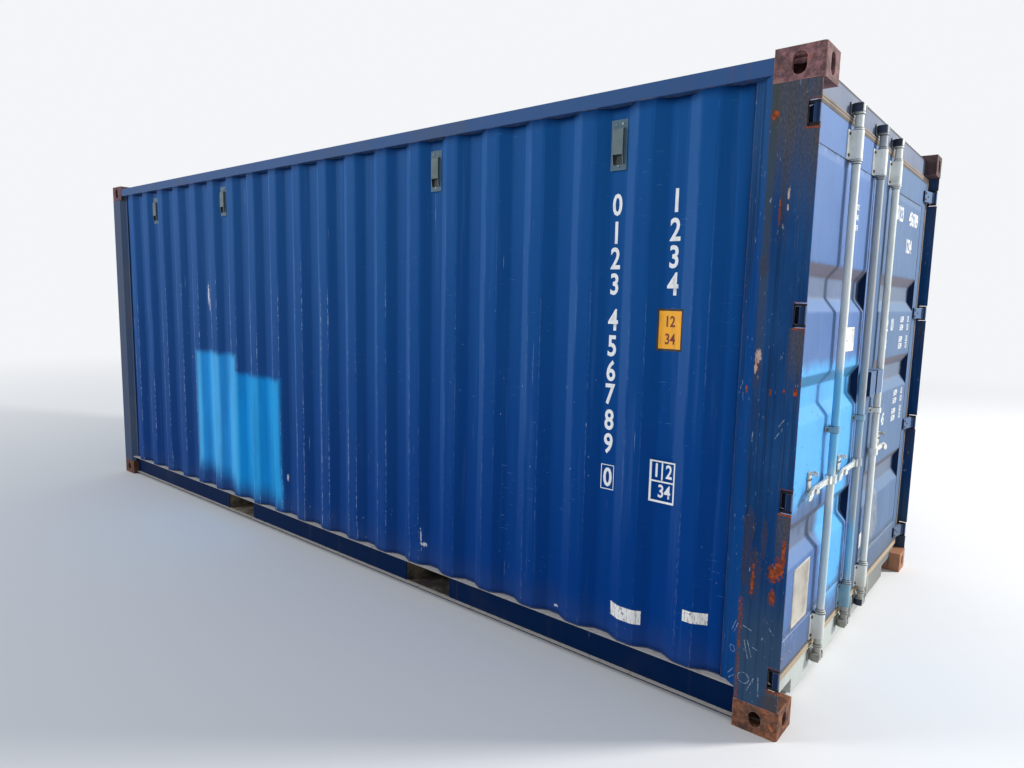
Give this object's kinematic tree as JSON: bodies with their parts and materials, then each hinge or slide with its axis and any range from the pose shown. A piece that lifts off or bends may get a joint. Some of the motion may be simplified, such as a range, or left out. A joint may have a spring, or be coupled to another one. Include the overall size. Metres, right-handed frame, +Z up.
{
  "type": "shipping container",
  "caption": "Steel freight container with corrugated walls, open-profile corner fittings, fork pockets, and hinged doors held by turning bars with lift-up handles.",
  "frame": {"origin": "centre of the base rectangle, on the plane that the bottom fittings stand on", "axes": "+X along the length towards the doors, +Y across to the right as seen from outside facing the doors, +Z up"},
  "size_m": [6.058, 2.438, 2.591],
  "materials": {
    "fitting": "rusted paint on cast steel",
    "frame_paint": "weathered dark blue paint",
    "wall_paint": "weathered blue paint",
    "door_paint": "faded blue paint",
    "bar_paint": "chalky light paint",
    "keeper_steel": "worn dark paint",
    "under_steel": "dirty undercoating",
    "vent": "grey-green moulded plastic",
    "gasket": "dusty rubber",
    "boards": "oiled plywood boards"
  },
  "bodies": {
    "box": {"top_fittings": "fitting", "bottom_fittings": "fitting", "left_rear_post": "frame_paint", "right_rear_post": "frame_paint", "left_front_post": "frame_paint", "right_front_post": "frame_paint", "left_top_rail": "frame_paint", "right_top_rail": "frame_paint", "left_bottom_rail": "frame_paint", "right_bottom_rail": "frame_paint", "front_top_rail": "frame_paint", "front_sill": "frame_paint", "door_header": "door_paint", "door_sill": "frame_paint", "left_wall": "wall_paint", "right_wall": "wall_paint", "front_wall": "wall_paint", "roof": "wall_paint", "floor": "boards", "cross_members": "under_steel", "fork_pockets": "under_steel", "side_vents": "vent", "hinge_lugs": "frame_paint", "cam_keepers": "keeper_steel"},
    "left_door": {"left_door_frame": "door_paint", "left_door_panel": "door_paint", "left_door_gasket": "gasket", "left_hinge_blades": "door_paint", "left_bar_brackets": "bar_paint", "left_handle_catches": "bar_paint", "left_lock_box": "door_paint"},
    "right_door": {"right_door_frame": "door_paint", "right_door_panel": "door_paint", "right_door_gasket": "gasket", "right_hinge_blades": "door_paint", "right_bar_brackets": "bar_paint", "right_handle_catch": "bar_paint", "right_lock_box": "door_paint"},
    "left_outer_bar": {"left_outer_bar": "bar_paint"},
    "left_inner_bar": {"left_inner_bar": "bar_paint"},
    "right_inner_bar": {"right_inner_bar": "bar_paint"},
    "left_outer_handle": {"left_outer_handle": "bar_paint"},
    "left_inner_handle": {"left_inner_handle": "bar_paint"},
    "right_inner_handle": {"right_inner_handle": "bar_paint"}
  },
  "joints": [
    {"name": "left_door_hinge", "type": "hinge", "parent": "box", "child": "left_door", "pos_m": [3.009, -1.205, 1.3], "axis": [0, 0, -1], "range_deg": [0, 260]},
    {"name": "right_door_hinge", "type": "hinge", "parent": "box", "child": "right_door", "pos_m": [3.009, 1.205, 1.3], "axis": [0, 0, 1], "range_deg": [0, 260]},
    {"name": "left_outer_bar_turn", "type": "hinge", "parent": "left_door", "child": "left_outer_bar", "pos_m": [2.998, -0.612, 1.3], "axis": [0, 0, -1], "range_deg": [-100, 0]},
    {"name": "left_inner_bar_turn", "type": "hinge", "parent": "left_door", "child": "left_inner_bar", "pos_m": [2.998, -0.168, 1.3], "axis": [0, 0, -1], "range_deg": [-100, 0]},
    {"name": "right_inner_bar_turn", "type": "hinge", "parent": "right_door", "child": "right_inner_bar", "pos_m": [2.998, 0.168, 1.3], "axis": [0, 0, 1], "range_deg": [-100, 0]},
    {"name": "left_outer_handle_lift", "type": "hinge", "parent": "left_outer_bar", "child": "left_outer_handle", "pos_m": [2.998, -0.648, 0.93], "axis": [-1, 0, 0], "range_deg": [0, 10]},
    {"name": "left_inner_handle_lift", "type": "hinge", "parent": "left_inner_bar", "child": "left_inner_handle", "pos_m": [2.998, -0.204, 0.93], "axis": [-1, 0, 0], "range_deg": [0, 10]},
    {"name": "right_inner_handle_lift", "type": "hinge", "parent": "right_inner_bar", "child": "right_inner_handle", "pos_m": [2.998, 0.204, 0.93], "axis": [1, 0, 0], "range_deg": [0, 10]}
  ]
}
